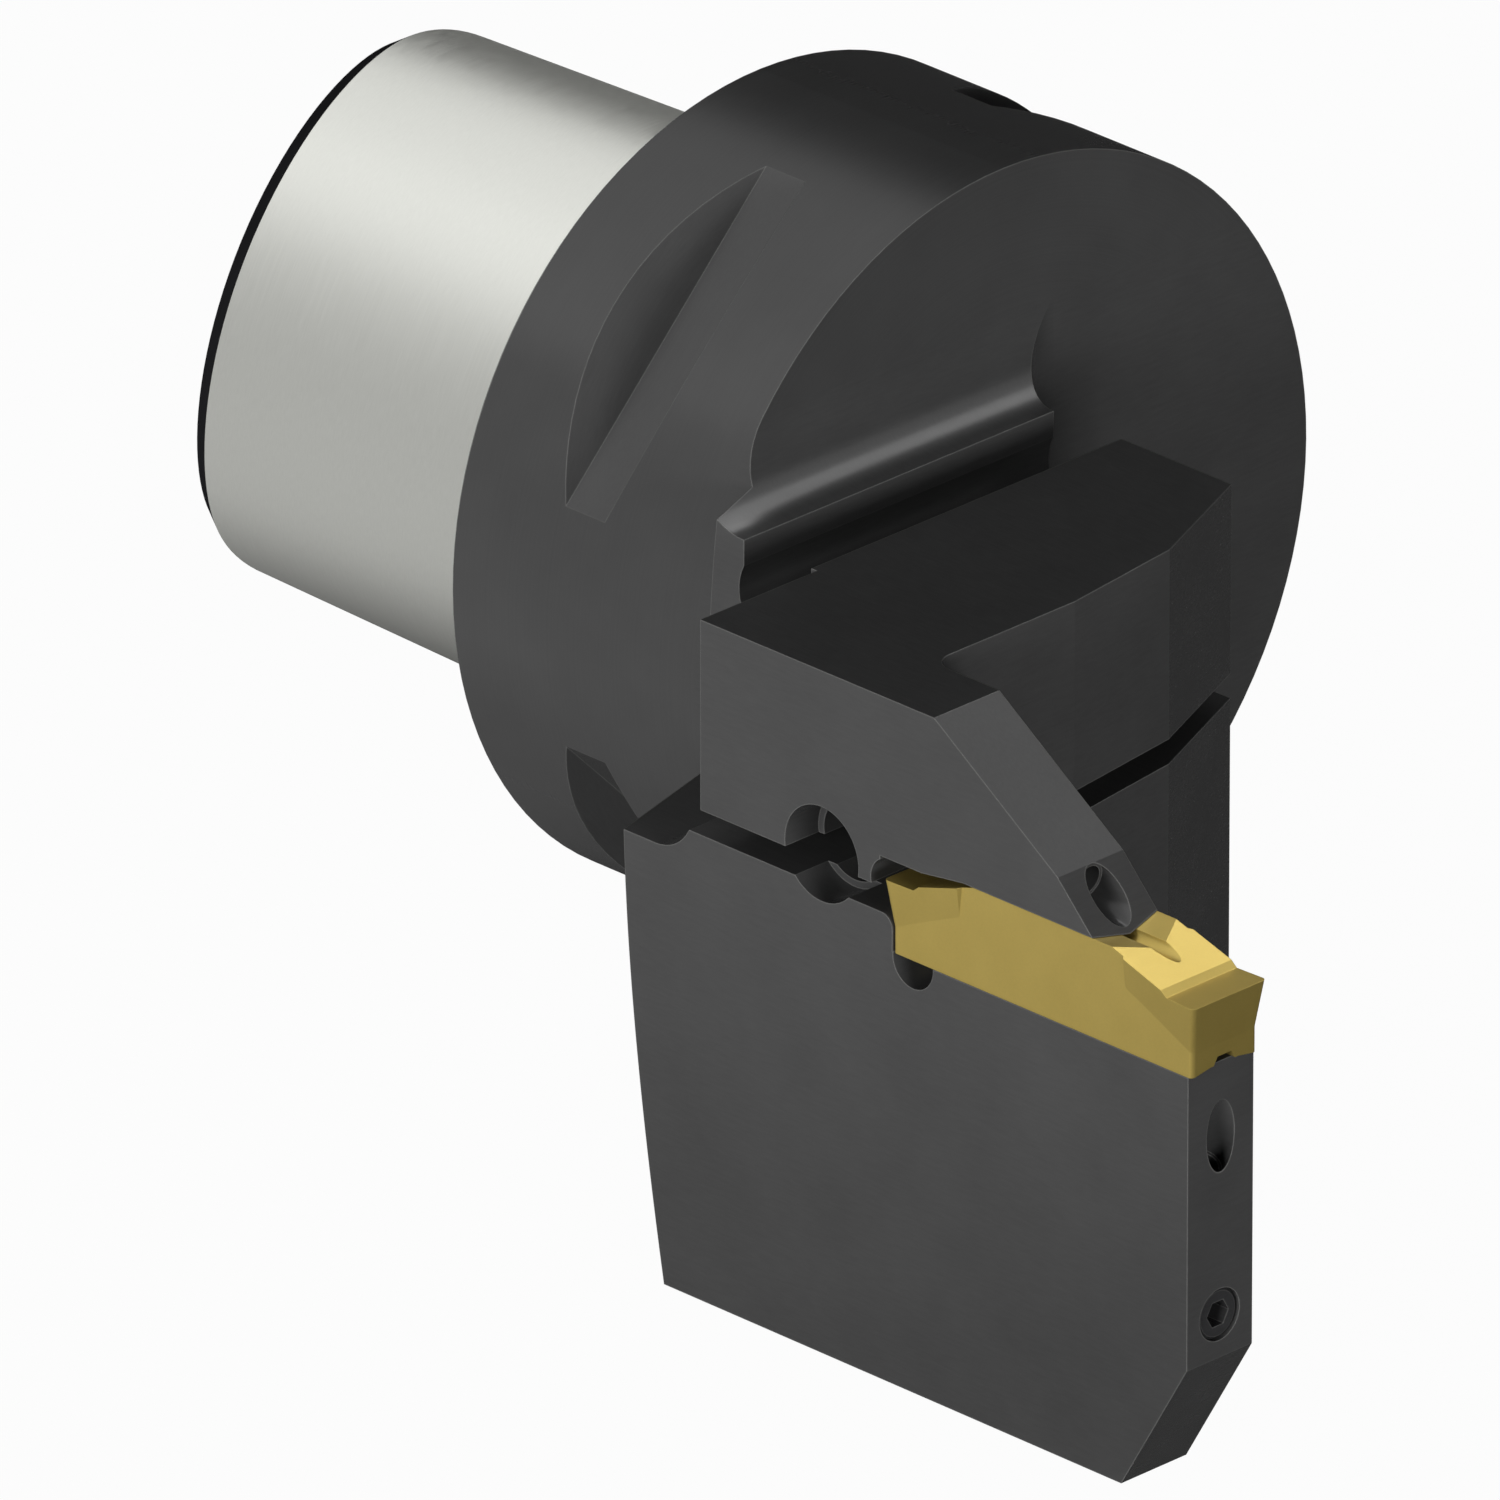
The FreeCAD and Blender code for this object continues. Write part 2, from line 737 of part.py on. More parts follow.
def set_screw(diameter, length, key_width):
    """Socket set screw along -X, with its socket at the origin facing +X."""
    radius = diameter / 2
    screw = turned([
        (0, 0),
        (0, radius - plug_rim_chamfer),
        (-plug_rim_chamfer, radius),
        (-length + plug_cup_chamfer, radius),
        (-length, radius - plug_cup_chamfer),
        (-length, 0),
    ])
    hexagon = []
    for i in range(7):
        a = math.radians(60 * i)
        corner = key_width / 2 / math.cos(math.radians(30))
        hexagon.append(Vec(0, corner * math.cos(a), corner * math.sin(a)))
    socket = Part.Face(Part.makePolygon(hexagon)).extrude(Vec(-length * plug_socket_share, 0, 0))
    return screw.cut(socket)


def blade_plug():
    plug = set_screw(blade_plug_diameter, blade_plug_length, blade_plug_key)
    plug.translate(Vec(blade_front_x - plug_recess, blade_y, blade_duct_z))
    return plug


def side_plug(plug, x, z):
    """Turns a plug towards +Y and sets it in the mouth of a cross duct."""
    plug.rotate(Vec(0, 0, 0), Vec(0, 0, 1), 90)
    plug.translate(Vec(x, head_right_y - plug_recess, z))
    return plug


def head_plug():
    plug = set_screw(head_plug_diameter, head_plug_length, head_plug_key)
    return side_plug(plug, cross_duct_x, blade_duct_z)


def jaw_plug():
    plug = set_screw(jaw_plug_diameter, jaw_plug_length, jaw_plug_key)
    return side_plug(plug, jaw_cross_x, jaw_cross_z)


def build():
    head = head_with_jaw()
    return {
        "polygon_shank": polygon_shank(),
        "holder_body": holder_body(head),
        "clamp_jaw": clamp_jaw(head),
        "cutting_insert": cutting_insert(),
        "blade_duct_plug": blade_plug(),
        "head_duct_plug": head_plug(),
        "jaw_duct_plug": jaw_plug(),
    }


os.makedirs("parts", exist_ok=True)
for name, shape in build().items():
    shape.exportStep(os.path.join("parts", name + ".step"))
    print(name, len(shape.Solids), "solid,", round(shape.Volume, 1), "mm3, valid", shape.isValid())
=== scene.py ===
# %% [markdown]
# # A parting and grooving unit, dressed around its solids
#
# The object is a turning tool: a polygon taper shank, a round gripper flange, and an offset head
# that clamps a long gold-coated insert on top of a deep blade. The solids of the unit arrive from
# CAD as a fixed frame. They already have the right shapes, so this lesson adds a camera, light,
# finishes, and the one form that the solids leave out, the thread for the draw bolt.

# %% Load the solids
import math

import bmesh
import bpy
from mathutils import Matrix, Vector


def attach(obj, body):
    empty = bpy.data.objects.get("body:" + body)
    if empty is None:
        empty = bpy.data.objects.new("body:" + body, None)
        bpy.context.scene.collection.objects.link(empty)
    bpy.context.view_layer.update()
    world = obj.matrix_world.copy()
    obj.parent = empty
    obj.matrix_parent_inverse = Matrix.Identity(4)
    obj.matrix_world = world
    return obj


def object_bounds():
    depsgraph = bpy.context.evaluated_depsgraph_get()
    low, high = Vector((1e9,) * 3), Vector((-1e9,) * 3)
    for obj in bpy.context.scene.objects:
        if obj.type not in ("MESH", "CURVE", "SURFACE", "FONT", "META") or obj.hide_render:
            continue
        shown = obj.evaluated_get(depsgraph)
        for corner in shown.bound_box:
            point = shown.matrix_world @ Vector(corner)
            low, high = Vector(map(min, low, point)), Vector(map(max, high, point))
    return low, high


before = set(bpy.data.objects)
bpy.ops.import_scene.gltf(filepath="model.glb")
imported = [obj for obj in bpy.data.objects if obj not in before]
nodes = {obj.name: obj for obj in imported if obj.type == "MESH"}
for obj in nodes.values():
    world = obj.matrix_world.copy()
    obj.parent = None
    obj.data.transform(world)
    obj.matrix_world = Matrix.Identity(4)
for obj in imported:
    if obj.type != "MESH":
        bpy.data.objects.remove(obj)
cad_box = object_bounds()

MM = 0.001
print("nodes:", ", ".join(sorted(nodes)))

# %% [markdown]
# ## The view
#
# The photograph is taken from far away with a very long lens, from the front left and a little
# above. A camera can be placed with two angles: one around the upright axis and one above the
# floor. From them follow the three directions that a camera needs: right, up and back. Writing
# them as the columns of a matrix is safer than three Euler angles, because nothing can be turned
# in the wrong order. The photograph isn't centred on the tool's axis, so the camera also moves a
# little to the side and down. Its lens is known as a number of pixels in a frame FRAME_PIXELS
# wide, and the width of the sensor turns that into millimetres. The floor will reach metres past
# the tool, and VIEW_END, in metres, lies beyond all of it.

# %% Camera
VIEW_AROUND = math.radians(45.045)
VIEW_ABOVE = math.radians(24.985)
FOCAL_PIXELS = 40928.4
FRAME_PIXELS = 1500
SENSOR_MM = 36.0
VIEW_DISTANCE = 2369.12 * MM
VIEW_SIDE = -0.6035 * MM
VIEW_RISE = -16.607 * MM
VIEW_TARGET = Vector((0.4, 0, 0)) * MM
VIEW_END = 20.0


def new_piece(name, data):
    """New object in the scene."""
    piece = bpy.data.objects.new(name, data)
    bpy.context.scene.collection.objects.link(piece)
    return piece


def view_axes(around, above):
    """Right, up and back directions of a camera that looks at the origin."""
    right = Vector((math.cos(around), math.sin(around), 0))
    level = Vector((math.sin(around), -math.cos(around), 0))
    back = level * math.cos(above) + Vector((0, 0, math.sin(above)))
    return right, back.cross(right), back


right, up, back = view_axes(VIEW_AROUND, VIEW_ABOVE)
camera_data = bpy.data.cameras.new("photo_view")
camera_data.sensor_width = SENSOR_MM
camera_data.lens = FOCAL_PIXELS / FRAME_PIXELS * SENSOR_MM
camera_data.clip_end = VIEW_END
camera = new_piece("photo_view", camera_data)
eye = VIEW_TARGET + right * VIEW_SIDE + up * VIEW_RISE + back * VIEW_DISTANCE
turn = Matrix((right, up, back)).transposed()
camera.matrix_world = Matrix.Translation(eye) @ turn.to_4x4()
bpy.context.scene.camera = camera
bpy.context.scene.view_settings.view_transform = "Standard"
print("camera at", [round(v / MM) for v in eye], "mm, lens", round(camera_data.lens), "mm")

# %% [markdown]
# ## Lamps
#
# Four soft lamps light the tool. The key stands low and almost square to the blade's side, and a
# smaller lamp stands low in front, so the sides and the faces that look forwards are lighter than
# the tops, as in the photograph. The third lamp lights the hidden rear. These three are as wide
# as a window, which gives shadows soft borders, and they are left out of the reflections, or they
# would glare on every face that a view meets at a low angle. The fourth is a long strip, high
# behind the tool, that is seen in reflections and nowhere else. Faces that slope a little mirror
# it towards the camera, so the insert's rake face glints while the level faces stay dark.

# %% Lamps


def lamp(name, towards, distance, length, width, watts, mirrored=False):
    """Soft rectangular lamp that shines at the origin, its length lying level, in metres. It
    lights surfaces, or else it is only mirrored in them."""
    data = bpy.data.lights.new(name, "AREA")
    data.shape = "RECTANGLE"
    data.size = length
    data.size_y = width
    data.energy = watts
    direction = Vector(towards)
    turn = direction.to_track_quat("Z", "Y").to_matrix()
    piece = new_piece(name, data)
    piece.matrix_world = Matrix.Translation(direction.normalized() * distance) @ turn.to_4x4()
    piece.visible_glossy = mirrored
    piece.visible_diffuse = not mirrored
    print("lamp", name, "at", [round(v, 2) for v in piece.matrix_world.translation], "m")


lamp("key", towards=(0.20, -0.97, 0.06), distance=1.5, length=0.8, width=0.8, watts=28.0)
lamp("front", towards=(0.95, -0.25, 0.05), distance=1.5, length=0.5, width=0.5, watts=15.0)
lamp("rear", towards=(-0.75, 0.66, 0.10), distance=1.5, length=0.9, width=0.9, watts=14.0)
lamp("strip", towards=(-0.13, 0.66, 0.74), distance=1.4, length=0.7, width=0.22, watts=1.7,
     mirrored=True)

# %% [markdown]
# ## Colours and nodes
#
# A hex colour is written in sRGB, and the renderer works in linear light, so one function turns
# one into the other. A second small function adds any shader node with its settings, its
# constants and its links, which keeps each material down to the nodes that matter.

# %% Helpers for colours and nodes


def linear(hex_colour):
    """Linear RGBA of an sRGB hex colour."""
    values = [int(hex_colour[i:i + 2], 16) / 255 for i in (1, 3, 5)]
    return [v / 12.92 if v <= 0.04045 else ((v + 0.055) / 1.055) ** 2.4 for v in values] + [1]


def add(tree, kind, inputs=None, **settings):
    """Adds a shader node with its settings. Each input, found by its name or number, is linked if
    it is given a socket and set if it is given a constant."""
    node = tree.nodes.new("ShaderNode" + kind)
    for name, setting in settings.items():
        setattr(node, name, setting)
    for name, value in (inputs or {}).items():
        if isinstance(value, bpy.types.NodeSocket):
            tree.links.new(value, node.inputs[name])
        else:
            node.inputs[name].default_value = value
    return node


WHITE = linear("#FFFFFF")
print("#808080 is", round(linear("#808080")[0], 3), "in linear light")

# %% [markdown]
# ## White background
#
# The white of the background doesn't come from more light. Light Path tells the world what kind
# of ray asks for its colour: camera, glossy and transmission rays get plain white, and the rays
# that light the object get almost nothing, so the lamps alone do that.

# %% World
WORLD_STRENGTH = 0.02


def seen_directly(tree):
    """1 for rays that show the background: camera, glossy and transmission rays."""
    path = add(tree, "LightPath")
    first = add(tree, "Math", {0: path.outputs["Is Camera Ray"], 1: path.outputs["Is Glossy Ray"]},
                operation="MAXIMUM")
    return add(tree, "Math", {0: first.outputs[0], 1: path.outputs["Is Transmission Ray"]},
               operation="MAXIMUM").outputs[0]


world = bpy.data.worlds.new("studio")
bpy.context.scene.world = world
world.use_nodes = True
tree = world.node_tree
tree.nodes.clear()
dim = add(tree, "Background", {"Color": WHITE, "Strength": WORLD_STRENGTH})
white = add(tree, "Background", {"Color": WHITE, "Strength": 1.0})
mixed = add(tree, "MixShader", {"Fac": seen_directly(tree), 1: dim.outputs[0], 2: white.outputs[0]})
add(tree, "OutputWorld", {"Surface": mixed.outputs[0]})
print("world lights with", WORLD_STRENGTH, "of the white that it shows")

# %% [markdown]
# ## Floor
#
# The floor is one square under the lowest point of the blade. It is grey to the light that
# bounces off it and almost white to the camera, so that it melts into the background. What the
# tool mirrors of it is painted light and shade: a painted shadow, dark below the tool, and a
# painted pool of light, paler with every step to the left of the picture. That painted reflection
# lets the ground shank turn to grey towards its lower edge.

# %% Floor
FLOOR_SIZE = 6.0
FLOOR_GAP = 0.3 * MM

bm = bmesh.new()
bmesh.ops.create_grid(bm, x_segments=1, y_segments=1, size=FLOOR_SIZE / 2)
bmesh.ops.translate(bm, vec=(0, 0, cad_box[0][2] - FLOOR_GAP), verts=bm.verts)
floor_mesh = bpy.data.meshes.new("floor")
bm.to_mesh(floor_mesh)
bm.free()
floor = new_piece("floor", floor_mesh)
print("floor at", round((cad_box[0][2] - FLOOR_GAP) / MM, 2), "mm")

# %% Paint of the floor
# Painted board: matt and even to the lamps and the camera. In reflections it shows a painted
# shadow below the tool and a painted pool of light towards the left of the picture.
FLOOR_GREY = "#B4B4B4"
FLOOR_TO_CAMERA = 0.97
MIRRORED_PAINTED_LIGHT_TOWARDS = (-0.6, -0.8, 0)
MIRRORED_PAINTED_SHADOW = 0.02
MIRRORED_PAINTED_LIGHT = 0.45
MIRRORED_PAINTED_SHADOW_UNTIL = 5 * MM
MIRRORED_PAINTED_LIGHT_FROM = 65 * MM


def new_material(name):
    """Empty material and its node tree."""
    material = bpy.data.materials.new(name)
    material.use_nodes = True
    material.node_tree.nodes.clear()
    return material, material.node_tree


floor_paint, tree = new_material("pale_board_with_painted_reflection")
matt = add(tree, "BsdfDiffuse", {"Color": linear(FLOOR_GREY)})
path = add(tree, "LightPath")
place = add(tree, "TexCoord").outputs["Object"]
across = add(tree, "VectorMath", {0: place, 1: MIRRORED_PAINTED_LIGHT_TOWARDS}, operation="DOT_PRODUCT")
# Painted reflection: dark below the tool as a painted shadow, pale to the left as painted light.
mirrored = add(tree, "MapRange", {"Value": across.outputs["Value"],
                                  "From Min": MIRRORED_PAINTED_SHADOW_UNTIL, "From Max": MIRRORED_PAINTED_LIGHT_FROM,
                                  "To Min": MIRRORED_PAINTED_SHADOW, "To Max": MIRRORED_PAINTED_LIGHT})
level = add(tree, "Mix", {"Factor": path.outputs["Is Glossy Ray"], "A": 1.0,
                          "B": mirrored.outputs[0]})
glow = add(tree, "Emission", {"Color": WHITE, "Strength": level.outputs[0]})
to_camera = add(tree, "Math", {0: path.outputs["Is Camera Ray"], 1: FLOOR_TO_CAMERA},
                operation="MULTIPLY")
glowing = add(tree, "Math", {0: to_camera.outputs[0], 1: path.outputs["Is Glossy Ray"]},
              operation="MAXIMUM")
mixed = add(tree, "MixShader", {"Fac": glowing.outputs[0], 1: matt.outputs[0],
                                2: glow.outputs[0]})
add(tree, "OutputMaterial", {"Surface": mixed.outputs[0]})
floor_mesh.materials.append(floor_paint)
print(floor_paint.name, "on", floor.name)

# %% [markdown]
# ## Cards for the reflections
#
# Dark metal is photographed between dark cards, because a satin surface shows whatever stands
# around it. A card behind the tool is what its level faces mirror, so they turn dark while the
# sloping ones still mirror the white room. A second one, paler and lower, stands at the left of
# the picture, so that the ground shank grades from white above to grey below. Only reflections
# see the cards: they take no light from the tool and cast no shadow. Each is a strip bent round
# the tool, spun from one upright edge.

# %% Cards
CARD_DISTANCE = 3.0
CARD_STEPS = 24


def card(name, middle_deg, spread_deg, top_deg, level):
    """Upright strip around the origin, with a level between black and white. Its top edge is so
    many degrees above the level."""
    first = math.radians(middle_deg - spread_deg / 2)
    start = Matrix.Rotation(first, 3, "Z") @ Vector((CARD_DISTANCE, 0, 0))
    height = CARD_DISTANCE * math.tan(math.radians(top_deg))
    bm = bmesh.new()
    low = bm.verts.new((start.x, start.y, cad_box[0][2]))
    high = bm.verts.new((start.x, start.y, height))
    edge = bm.edges.new((low, high))
    bmesh.ops.spin(bm, geom=[low, high, edge], axis=(0, 0, 1), cent=(0, 0, 0),
                   angle=math.radians(spread_deg), steps=CARD_STEPS, use_merge=False)
    mesh = bpy.data.meshes.new(name)
    bm.to_mesh(mesh)
    bm.free()
    piece = new_piece(name, mesh)
    piece.visible_camera = False
    piece.visible_diffuse = False
    piece.visible_shadow = False
    material, tree = new_material(name)
    plain = add(tree, "Emission", {"Color": WHITE, "Strength": level})
    add(tree, "OutputMaterial", {"Surface": plain.outputs[0]})
    mesh.materials.append(material)
    print(name, "stands", CARD_DISTANCE, "m away,", round(height, 2), "m high")


card("dark_card_behind", middle_deg=78, spread_deg=225, top_deg=41, level=0.03)
card("grey_card_at_front_left", middle_deg=232, spread_deg=70, top_deg=28, level=0.40)

# %% [markdown]
# ## Marks of the lathe and the cutter
#
# The flange and head are turned, then milled, then blackened in a hot salt bath. The oxide is only
# a micrometre thick, so the tool marks show through it: rings on everything that was turned,
# straight lines on everything that was milled. Rings are a noise that reads only two numbers of
# a point, how far along the axis and how far out from it. Straight lines are a noise stretched
# along the cutter's path: it ran across the faces that look forwards, and lengthways on the
# others. All of it is measured in millimetres on the object itself.

# %% Rings


def object_mm(tree, stretch=(1, 1, 1)):
    """Object coordinates in millimetres, each times its stretch."""
    place = add(tree, "TexCoord").outputs["Object"]
    scale = [factor / MM for factor in stretch]
    return add(tree, "Mapping", {"Vector": place, "Scale": scale}).outputs[0]


def axis_distance(tree, place):
    """How far a point, already taken apart into X, Y and Z, lies from the tool's axis."""
    across = add(tree, "CombineXYZ", {"Y": place.outputs["Y"], "Z": place.outputs["Z"]})
    return add(tree, "VectorMath", {0: across.outputs[0]}, operation="LENGTH").outputs["Value"]


def ring_marks(tree, width_mm, detail, roughness):
    """Noise in rings around the tool's axis, each about as wide as said."""
    place = add(tree, "SeparateXYZ", {0: object_mm(tree)})
    along_and_out = add(tree, "CombineXYZ", {"X": place.outputs["X"], "Y": axis_distance(tree, place)})
    return add(tree, "TexNoise", {"Vector": along_and_out.outputs[0], "Scale": 1 / width_mm,
                                  "Detail": detail, "Roughness": roughness}).outputs[0]


# A finishing cut moves the lathe's tool about a sixth of a millimetre at every turn.
TURNED_RING_MM = 1 / 6
print("turned rings every", round(TURNED_RING_MM, 2), "mm")

# %% Straight marks
# A finishing cutter leaves lines about 0.2 mm apart and some eight times as long. A Mix node has
# one set of sockets for each kind of data, so they are found by number: 0 is the factor, 4 and 5
# are the two vectors, and in a mix of colours 6 and 7 are the two colours.
MILLED_MARK_MM = 0.2
MILLED_STRETCH = 0.12
FORWARD_FACING = 0.7


def milled_marks(tree):
    """Noise in lines along the cutter's path."""
    facing = add(tree, "SeparateXYZ", {0: add(tree, "NewGeometry").outputs["True Normal"]})
    forwards = add(tree, "Math", {0: facing.outputs["X"]}, operation="ABSOLUTE")
    looks_forwards = add(tree, "Math", {0: forwards.outputs[0], 1: FORWARD_FACING},
                         operation="GREATER_THAN")
    lengthways = object_mm(tree, (MILLED_STRETCH, 1, 1))
    across = object_mm(tree, (1, MILLED_STRETCH, 1))
    path = add(tree, "Mix", {0: looks_forwards.outputs[0], 4: lengthways, 5: across},
               data_type="VECTOR").outputs[1]
    return add(tree, "TexNoise", {"Vector": path, "Scale": 1 / MILLED_MARK_MM, "Detail": 4.0,
                                  "Roughness": 0.7}).outputs[0]


print("milled marks every", MILLED_MARK_MM, "mm,", round(MILLED_MARK_MM / MILLED_STRETCH, 1), "mm long")

# %% Where each was cut
# All that stands in front of the flange is milled, and so is a patch low on the flange's front.
FLANGE_FRONT_MM = 20.15
FACE_MARGIN_MM = 0.05
MILLED_PATCH_TOP_MM = 15.7


def is_milled(tree):
    """1 where the holder was milled, 0 where it was turned."""
    place = add(tree, "SeparateXYZ", {0: object_mm(tree)})
    past_flange = add(tree, "Math", {0: place.outputs["X"], 1: FLANGE_FRONT_MM + FACE_MARGIN_MM},
                      operation="GREATER_THAN")
    on_front = add(tree, "Math", {0: place.outputs["X"], 1: FLANGE_FRONT_MM - FACE_MARGIN_MM},
                   operation="GREATER_THAN")
    low = add(tree, "Math", {0: place.outputs["Z"], 1: MILLED_PATCH_TOP_MM}, operation="LESS_THAN")
    in_patch = add(tree, "Math", {0: on_front.outputs[0], 1: low.outputs[0]}, operation="MULTIPLY")
    return add(tree, "Math", {0: past_flange.outputs[0], 1: in_patch.outputs[0]},
               operation="MAXIMUM").outputs[0]


print("milled in front of", FLANGE_FRONT_MM, "mm, turned behind it")

# %% [markdown]
# ## Black oxide
#
# Black oxide is satin, and a fine line of bare steel shows where an edge is worn. That lighter
# line along every sharp edge is partly a painted edge highlight as well. The Bevel node finds such
# edges: it rounds the normal near them, and where the rounded normal differs from the flat one,
# there is an edge. The same node with a smaller radius breaks the edges for the light, because no
# edge of a real part is perfectly sharp.

# %% Edges and marked surfaces
BEVEL_SAMPLES = 6
WORN_AND_HIGHLIGHT_WIDTH = 0.12 * MM
WORN_AND_HIGHLIGHT_FROM = 0.995
WORN_AND_HIGHLIGHT_FULLY = 0.90
NOISE_LOW = 0.3
NOISE_HIGH = 0.7


def worn_and_highlight_edge_mask(tree):
    """1 along the sharp edges of a piece, 0 on its faces."""
    flat = add(tree, "NewGeometry").outputs["Normal"]
    rounded = add(tree, "Bevel", {"Radius": WORN_AND_HIGHLIGHT_WIDTH}, samples=BEVEL_SAMPLES).outputs[0]
    agree = add(tree, "VectorMath", {0: flat, 1: rounded}, operation="DOT_PRODUCT").outputs["Value"]
    return add(tree, "MapRange", {"Value": agree, "From Min": WORN_AND_HIGHLIGHT_FROM,
                                  "From Max": WORN_AND_HIGHLIGHT_FULLY}).outputs[0]


def two_noise_tones(tree, fine, coarse, dark, light):
    """Colour between two tones that a fine and a coarse noise pick together."""
    total = add(tree, "Math", {0: fine, 1: coarse}, operation="ADD").outputs[0]
    amount = add(tree, "MapRange", {"Value": total, "From Min": 2 * NOISE_LOW,
                                    "From Max": 2 * NOISE_HIGH}).outputs[0]
    ramp = add(tree, "ValToRGB", {"Fac": amount})
    ramp.color_ramp.elements[0].color = linear(dark)
    ramp.color_ramp.elements[1].color = linear(light)
    return ramp.outputs[0]


def marked_surface(tree, colour, marks, rough, edge_radius, bump, depth, metallic=0.0, sheen=0.5):
    """Shader whose marks change its roughness between two values, and tilt the light a little."""
    roughness = add(tree, "MapRange", {"Value": marks, "From Min": NOISE_LOW, "From Max": NOISE_HIGH,
                                       "To Min": rough[0], "To Max": rough[1]}).outputs[0]
    broken = add(tree, "Bevel", {"Radius": edge_radius}, samples=BEVEL_SAMPLES).outputs[0]
    normal = add(tree, "Bump", {"Height": marks, "Normal": broken, "Strength": bump,
                                "Distance": depth}).outputs[0]
    return add(tree, "BsdfPrincipled", {"Base Color": colour, "Roughness": roughness,
                                        "Normal": normal, "Metallic": metallic,
                                        "Specular IOR Level": sheen}).outputs[0]


print("edges rub bright over", round(WORN_AND_HIGHLIGHT_WIDTH / MM, 2), "mm")

# %% Black oxide
# The salt bath leaves faint patches about 5.6 mm across. The oxide mirrors a little less than
# paint does, and its gloss is that of the smooth steel under it.
BATH_PATCH_MM = 1 / 0.18
EDGE_WEAR_AND_HIGHLIGHT = 0.5
EDGE_RADIUS = 0.06 * MM
OXIDE_SHEEN = 0.4
OXIDE_ROUGH = (0.20, 0.26)
OXIDE_BUMP = 0.02
OXIDE_DEPTH = 0.02 * MM


def oxide_shader(tree, dark, light, worn_and_highlight_tone, sheen=OXIDE_SHEEN):
    """Satin black oxide with rings on the turned flange and straight marks on the milled head."""
    rings = ring_marks(tree, TURNED_RING_MM, detail=4.0, roughness=0.7)
    marks = add(tree, "Mix", {"Factor": is_milled(tree), "A": rings, "B": milled_marks(tree)}).outputs[0]
    patches = add(tree, "TexNoise", {"Vector": object_mm(tree), "Scale": 1 / BATH_PATCH_MM,
                                     "Detail": 3.0}).outputs[0]
    oxide = two_noise_tones(tree, marks, patches, dark, light)
    # Lighter tone along the sharp edges: partly worn bare steel, partly a painted edge highlight.
    worn_and_highlight_amount = add(tree, "Math", {0: worn_and_highlight_edge_mask(tree), 1: EDGE_WEAR_AND_HIGHLIGHT}, operation="MULTIPLY").outputs[0]
    colour = add(tree, "Mix", {0: worn_and_highlight_amount, 6: oxide, 7: linear(worn_and_highlight_tone)}, data_type="RGBA").outputs[2]
    return marked_surface(tree, colour, marks, OXIDE_ROUGH, EDGE_RADIUS, OXIDE_BUMP, OXIDE_DEPTH,
                          sheen=sheen)


print("oxide roughness from", OXIDE_ROUGH[0], "to", OXIDE_ROUGH[1])

# %% Jaw and plugs


def dress(material, *names):
    """Gives some of the solids a material in place of their own."""
    for name in names:
        piece = nodes[name]
        piece.data.materials.clear()
        piece.data.materials.append(material)
    print(material.name, "on", ", ".join(names))


# Black oxide on milled tool steel: dark grey and satin, with faint straight lines in its gloss.
# The third tone lines the sharp edges: partly worn bare steel, partly a painted edge highlight.
OXIDE = ("#424242", "#4A4A4A", "#8A8A88")
jaw_finish, tree = new_material("black_oxide_on_milled_steel")
add(tree, "OutputMaterial", {"Surface": oxide_shader(tree, *OXIDE)})
dress(jaw_finish, "clamp_jaw")

# Blackened alloy steel, as screws are bought: a little darker than the holder around it.
SCREW = ("#303031", "#3A3A3B", "#757573")
screw_finish, tree = new_material("blackened_screw_steel")
add(tree, "OutputMaterial", {"Surface": oxide_shader(tree, *SCREW)})
dress(screw_finish, "blade_duct_plug", "head_duct_plug", "jaw_duct_plug")

# %% [markdown]
# ## Where the oxide is ground away
#
# The whole unit is blackened, and then only the surfaces that locate it are ground bright: the
# taper and the gauge face. The chamfer at the end of the shank, its end face and its bore stay
# black. Both finishes are therefore in one material, and a position along the axis or out from
# it says which one shows. Ground steel is a metal, so its colour is its reflection colour.

# %% Ground steel
# The grit of a grinding wheel leaves scratches a few hundredths of a millimetre apart, too fine
# to show, so they are drawn nine to the millimetre.
GROUND_SCRATCH_MM = 1 / 9
STEEL_ROUGH = (0.34, 0.44)
STEEL_BUMP = 0.02
STEEL_DEPTH = 0.01 * MM


def bare_steel_shader(tree, dark, light):
    """Bare steel with fine rings round the axis, from grinding or from a tap."""
    scratches = ring_marks(tree, GROUND_SCRATCH_MM, detail=5.0, roughness=0.75)
    ramp = add(tree, "ValToRGB", {"Fac": scratches})
    ramp.color_ramp.elements[0].color = linear(dark)
    ramp.color_ramp.elements[1].color = linear(light)
    return marked_surface(tree, ramp.outputs[0], scratches, STEEL_ROUGH, EDGE_RADIUS, STEEL_BUMP,
                          STEEL_DEPTH, metallic=1.0)


print("ground scratches drawn every", round(GROUND_SCRATCH_MM, 2), "mm")

# %% Holder: black oxide, with the gauge face ground
GAUGE_FACE_LIMIT_MM = 0.05
# Ground hardened steel: almost white where it mirrors the room, with a soft, even shine.
GROUND = ("#EBECE5", "#FDFEF8")

holder_finish, tree = new_material("black_oxide_with_ground_gauge_face")
along = add(tree, "SeparateXYZ", {0: object_mm(tree)}).outputs["X"]
on_gauge_face = add(tree, "Math", {0: along, 1: GAUGE_FACE_LIMIT_MM}, operation="LESS_THAN")
holder_mix = add(tree, "MixShader", {0: on_gauge_face.outputs[0], 1: oxide_shader(tree, *OXIDE),
                                     2: bare_steel_shader(tree, *GROUND)})
add(tree, "OutputMaterial", {"Surface": holder_mix.outputs[0]})
dress(holder_finish, "holder_body")

# %% Shank: ground steel, with its end and bore still black
# The widest place of the bore, its claw groove, lies 13.5 mm out from the axis.
END_CHAMFER_MM = 1.6
BORE_LIMIT_MM = 14.5
